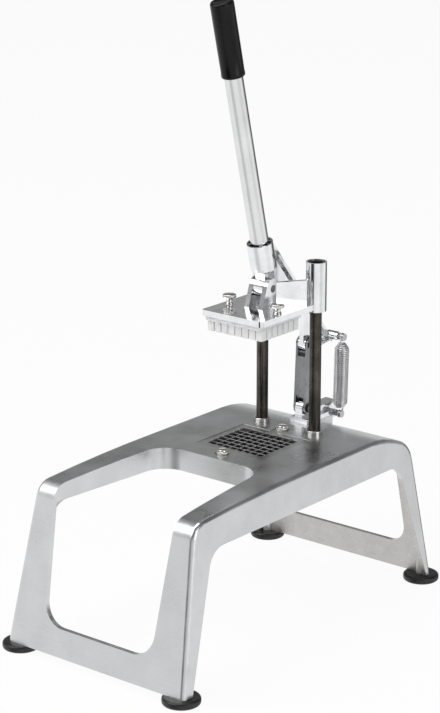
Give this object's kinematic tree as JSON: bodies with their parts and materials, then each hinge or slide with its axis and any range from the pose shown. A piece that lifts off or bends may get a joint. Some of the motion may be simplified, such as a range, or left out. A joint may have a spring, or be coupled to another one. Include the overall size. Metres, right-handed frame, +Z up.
{
  "type": "french fry cutter",
  "caption": "Lever-driven potato chipper: a handle drives a pinned pusher block down two columns and through a square knife grid in an arched cast base.",
  "frame": {"origin": "on the ground, midway between the four feet", "axes": "+X to the operator's right, +Y away from the operator, +Z up"},
  "size_m": [0.279, 0.496, 0.7192],
  "materials": {
    "cast_aluminium": "satin sand-cast, linished",
    "rubber_black": "moulded, matt",
    "screw_steel": "zinc plated",
    "blade_steel": "ground stainless",
    "frame_steel": "stainless, satin",
    "bright_steel": "polished, plated",
    "column_steel": "ground, oiled dark",
    "bush_nylon": "turned nylon",
    "pusher_plastic": "moulded white",
    "pin_steel": "dark oxide",
    "tube_steel": "satin tube",
    "grip_rubber": "smooth vinyl, semi-gloss",
    "bronze": "sintered bronze",
    "spring_steel": "zinc plated wire"
  },
  "bodies": {
    "base": {"base_casting": "cast_aluminium", "foot_front_left": "rubber_black", "foot_front_right": "rubber_black", "foot_rear_left": "rubber_black", "foot_rear_right": "rubber_black", "foot_screws": "screw_steel", "knife_frame": "frame_steel", "blades_long": "blade_steel", "blades_cross": "blade_steel", "grid_screw_front": "bright_steel", "grid_screw_rear": "bright_steel", "column_left": "column_steel", "column_right": "column_steel", "column_collars": "bright_steel", "column_nuts": "screw_steel", "rear_bracket": "cast_aluminium", "bracket_screws": "screw_steel", "link_lower_bush": "bronze", "spring_pin_lower": "screw_steel"},
    "head": {"head_casting": "cast_aluminium", "guide_bush_left": "bush_nylon", "guide_bush_right": "bush_nylon", "pusher_block": "pusher_plastic", "knob_left": "bright_steel", "knob_right": "bright_steel", "lever_pivot_pin": "pin_steel"},
    "lever": {"lever_casting": "cast_aluminium", "handle_tube": "tube_steel", "handle_grip": "grip_rubber", "lever_eye_bush": "bronze", "lever_eye_pin": "pin_steel"},
    "link": {"link_bar": "cast_aluminium", "link_lower_pin": "pin_steel", "link_upper_pins": "pin_steel"},
    "spring": {"return_spring": "spring_steel"},
    "spring_top": {"spring_pin_upper": "screw_steel"}
  },
  "joints": [
    {"name": "head_slide", "type": "slide", "parent": "base", "child": "head", "axis": [0, 0, -1], "range_m": [0, 0.137], "stiffness_N_per_m": 400, "springref_m": -0.12},
    {"name": "lever_pivot", "type": "hinge", "parent": "head", "child": "lever", "pos_m": [0, 0.065, 0.3805], "axis": [1, 0, 0], "range_deg": [0, 68.6]},
    {"name": "link_swing", "type": "hinge", "parent": "base", "child": "link", "pos_m": [0, 0.143, 0.217], "axis": [1, 0, 0], "range_deg": [-21.1, 0]},
    {"name": "spring_swing", "type": "hinge", "parent": "base", "child": "spring", "pos_m": [0.0175, 0.192, 0.1995], "axis": [1, 0, 0], "range_deg": [0, 1.8]},
    {"name": "spring_stretch", "type": "slide", "parent": "spring", "child": "spring_top", "axis": [0, 0.0314, 0.9995], "range_m": [0, 0.0381], "deforming": ["return_spring"]}
  ],
  "couplings": [
    {"joint": "lever_pivot", "follows": "head_slide", "rad_per_m": 8.7237},
    {"joint": "link_swing", "follows": "head_slide", "rad_per_m": -2.6686},
    {"joint": "spring_swing", "follows": "head_slide", "rad_per_m": 0.21657},
    {"joint": "spring_stretch", "follows": "head_slide", "ratio": 0.27752}
  ]
}
